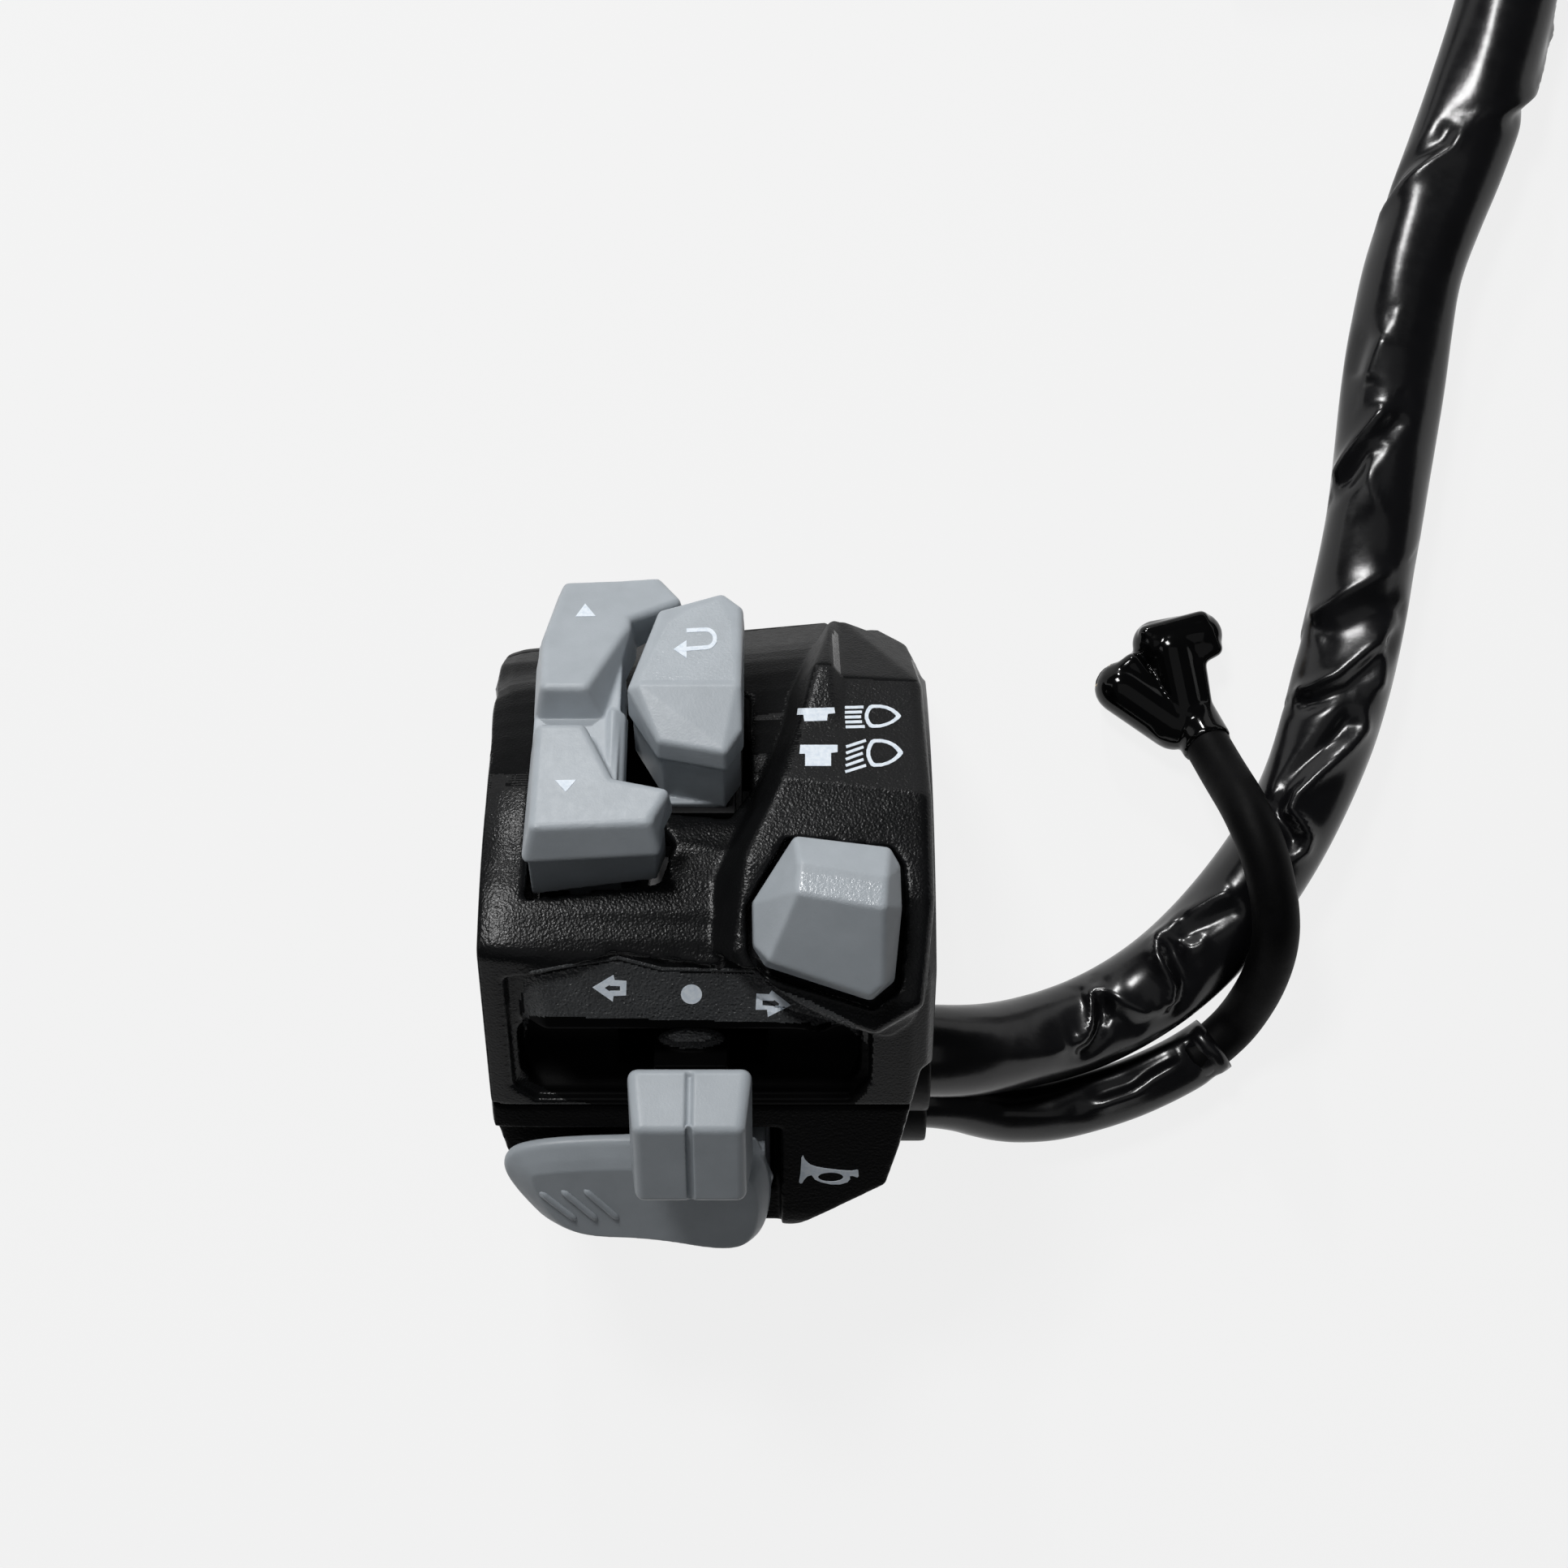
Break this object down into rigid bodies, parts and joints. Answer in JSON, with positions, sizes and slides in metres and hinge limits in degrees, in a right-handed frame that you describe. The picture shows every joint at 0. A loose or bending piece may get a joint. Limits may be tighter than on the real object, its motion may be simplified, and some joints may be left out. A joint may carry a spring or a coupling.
{
  "type": "handlebar switch cluster",
  "caption": "Clamp-on handlebar switch cluster with menu rocker, back key, beam button, sliding turn knob, horn paddle, sleeved loom and booted switch lead.",
  "frame": {"origin": "on the axis of the handlebar bore, near the middle of the housing", "axes": "+X along the bar to the rider's right, +Z out of the face with the keys, +Y up across the face"},
  "size_m": [0.1332, 0.2958, 0.0629],
  "materials": {
    "shell": "fine spark-eroded grain, satin",
    "keys": "satin light grey",
    "steel": "zinc plated",
    "spring_steel": "drawn wire",
    "switch_plastic": "plain moulded",
    "board": "solder mask",
    "contact_brass": "stamped",
    "soft_rubber": "smooth",
    "sleeve": "glossy wrinkled sleeve",
    "connector_nylon": "natural nylon"
  },
  "bodies": {
    "housing": {"front_housing": "shell", "rear_housing": "shell", "housing_screws": "steel", "rocker_pin": "steel", "menu_frame": "switch_plastic", "menu_screws": "steel", "menu_board": "board", "menu_switches": "switch_plastic", "back_collar": "soft_rubber", "dimmer_spring": "spring_steel", "dimmer_case": "switch_plastic", "dimmer_contacts": "contact_brass", "turn_base": "switch_plastic", "turn_screws": "steel", "horn_pin": "steel", "horn_spring": "spring_steel", "horn_base": "switch_plastic", "horn_contact": "contact_brass", "harness_grommet": "soft_rubber", "wire_bundle": "sleeve", "harness_sheath": "sleeve", "harness_tape": "sleeve", "harness_connector": "connector_nylon", "connector_pins": "contact_brass", "clutch_sheath": "sleeve", "clutch_lead": "soft_rubber", "clutch_boots": "soft_rubber", "clutch_terminals": "contact_brass"},
    "rocker": {"menu_rocker": "keys"},
    "back_key": {"back_button": "keys"},
    "dimmer_key": {"dimmer_button": "keys"},
    "turn_carriage": {"turn_slider": "shell", "detent_ball": "steel", "detent_spring": "spring_steel", "turn_push_spring": "spring_steel"},
    "turn_key": {"turn_knob": "keys"},
    "horn_key": {"horn_lever": "keys"}
  },
  "joints": [
    {"name": "rocker_tilt", "type": "hinge", "parent": "housing", "child": "rocker", "pos_m": [0, -0.00354, 0.02235], "axis": [1, 0, 0], "range_deg": [-4, 4], "stiffness_Nm_per_rad": 0.4},
    {"name": "back_press", "type": "slide", "parent": "housing", "child": "back_key", "axis": [0, -0.5878, -0.809], "range_m": [0, 0.0018], "stiffness_N_per_m": 800, "deforming": ["back_collar"]},
    {"name": "dimmer_press", "type": "slide", "parent": "housing", "child": "dimmer_key", "axis": [0, -0.2079, -0.9781], "range_m": [0, 0.0024], "stiffness_N_per_m": 600, "deforming": ["dimmer_spring"]},
    {"name": "turn_slide", "type": "slide", "parent": "housing", "child": "turn_carriage", "axis": [1, 0, 0], "range_m": [-0.0035, 0.0035], "stiffness_N_per_m": 400},
    {"name": "turn_push", "type": "slide", "parent": "turn_carriage", "child": "turn_key", "axis": [0, 0.6157, -0.788], "range_m": [0, 0.0016], "stiffness_N_per_m": 900, "deforming": ["turn_push_spring"]},
    {"name": "horn_press", "type": "hinge", "parent": "housing", "child": "horn_key", "pos_m": [0.0044, -0.03903, 0.00935], "axis": [0, -0.788, -0.6157], "range_deg": [0, 4.5], "stiffness_Nm_per_rad": 0.5, "deforming": ["horn_spring"]}
  ]
}
